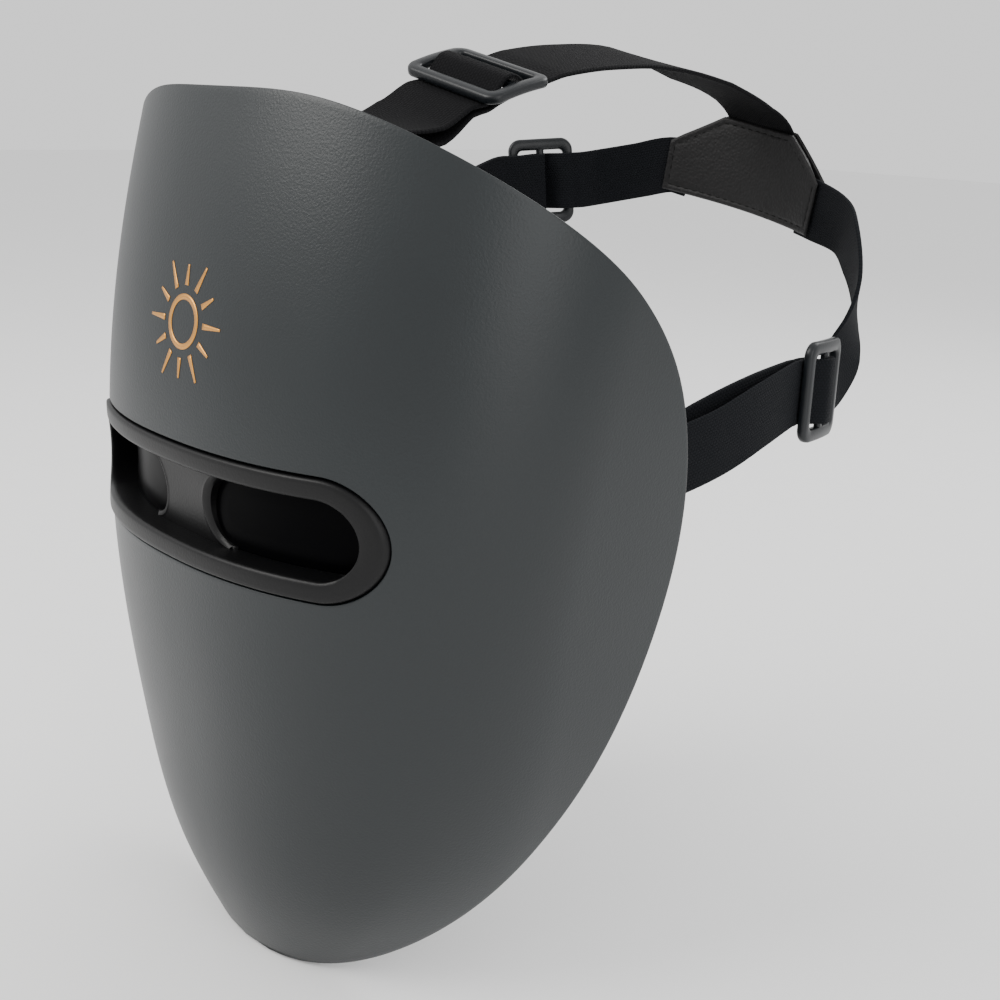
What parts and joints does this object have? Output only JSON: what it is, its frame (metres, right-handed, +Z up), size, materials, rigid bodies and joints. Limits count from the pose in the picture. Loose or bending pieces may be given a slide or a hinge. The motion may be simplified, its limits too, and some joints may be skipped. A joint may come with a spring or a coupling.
{
  "type": "led face mask",
  "caption": "Full-face light therapy mask with a smooth dark shell, one wide eye slot with dark lenses, a lamp panel facing the skin and an adjustable elastic head harness.",
  "frame": {"origin": "centre plane, at the root of the wearer's nose, level with the middle of the eye slot", "axes": "+Z up along the face, the mask faces -Y, the back of the head is towards +Y, the wearer's left is +X"},
  "size_m": [0.175, 0.2195, 0.2446],
  "materials": {
    "shell_paint": "satin",
    "black_plastic": "satin",
    "panel_plastic": "satin",
    "silicone": "matte",
    "board_film": "satin",
    "lamp_lens": "gloss",
    "screw_steel": "satin",
    "socket_steel": "satin",
    "buckle_plastic": "satin",
    "elastic_webbing": "matte",
    "yoke_leather": "matte",
    "battery_film": "satin",
    "tape_foam": "matte",
    "lens_tint": "gloss",
    "board_green": "satin"
  },
  "bodies": {
    "mask": {"outer_shell": "shell_paint", "rim_frame": "black_plastic", "face_panel": "panel_plastic", "eye_frame": "black_plastic", "left_eye_lens": "lens_tint", "right_eye_lens": "lens_tint", "left_eye_shield": "silicone", "right_eye_shield": "silicone", "forehead_pad": "silicone", "nose_pad": "silicone", "forehead_board": "board_film", "left_cheek_board": "board_film", "right_cheek_board": "board_film", "chin_board": "board_film", "forehead_lamps": "lamp_lens", "left_cheek_lamps": "lamp_lens", "right_cheek_lamps": "lamp_lens", "chin_lamps": "lamp_lens", "board_links": "board_film", "battery_tape": "tape_foam", "battery": "battery_film", "control_board": "board_green", "power_switch": "black_plastic", "usb_c_socket": "socket_steel", "top_anchor": "black_plastic", "left_anchor": "black_plastic", "right_anchor": "black_plastic", "anchor_screws": "screw_steel", "rim_screws": "screw_steel", "yoke_outer": "yoke_leather", "yoke_lining": "yoke_leather", "top_strap": "elastic_webbing", "left_strap": "elastic_webbing", "right_strap": "elastic_webbing"},
    "top_buckle": {"top_buckle": "buckle_plastic"},
    "left_buckle": {"left_buckle": "buckle_plastic"},
    "right_buckle": {"right_buckle": "buckle_plastic"},
    "power_button": {"power_button": "buckle_plastic"}
  },
  "joints": [
    {"name": "power_press", "type": "slide", "parent": "mask", "child": "power_button", "axis": [0, -1, 0], "range_m": [0, 0.0009], "stiffness_N_per_m": 900},
    {"name": "top_adjust", "type": "slide", "parent": "mask", "child": "top_buckle", "axis": [0, 0.9629, 0.27], "range_m": [-0.014, 0.01], "deforming": ["top_strap"]},
    {"name": "left_adjust", "type": "slide", "parent": "mask", "child": "left_buckle", "axis": [-0.252, 0.9675, -0.0202], "range_m": [-0.014, 0.002], "deforming": ["left_strap"]},
    {"name": "right_adjust", "type": "slide", "parent": "mask", "child": "right_buckle", "axis": [0.5202, 0.8503, 0.08], "range_m": [-0.008, 0.004], "deforming": ["right_strap"]}
  ]
}
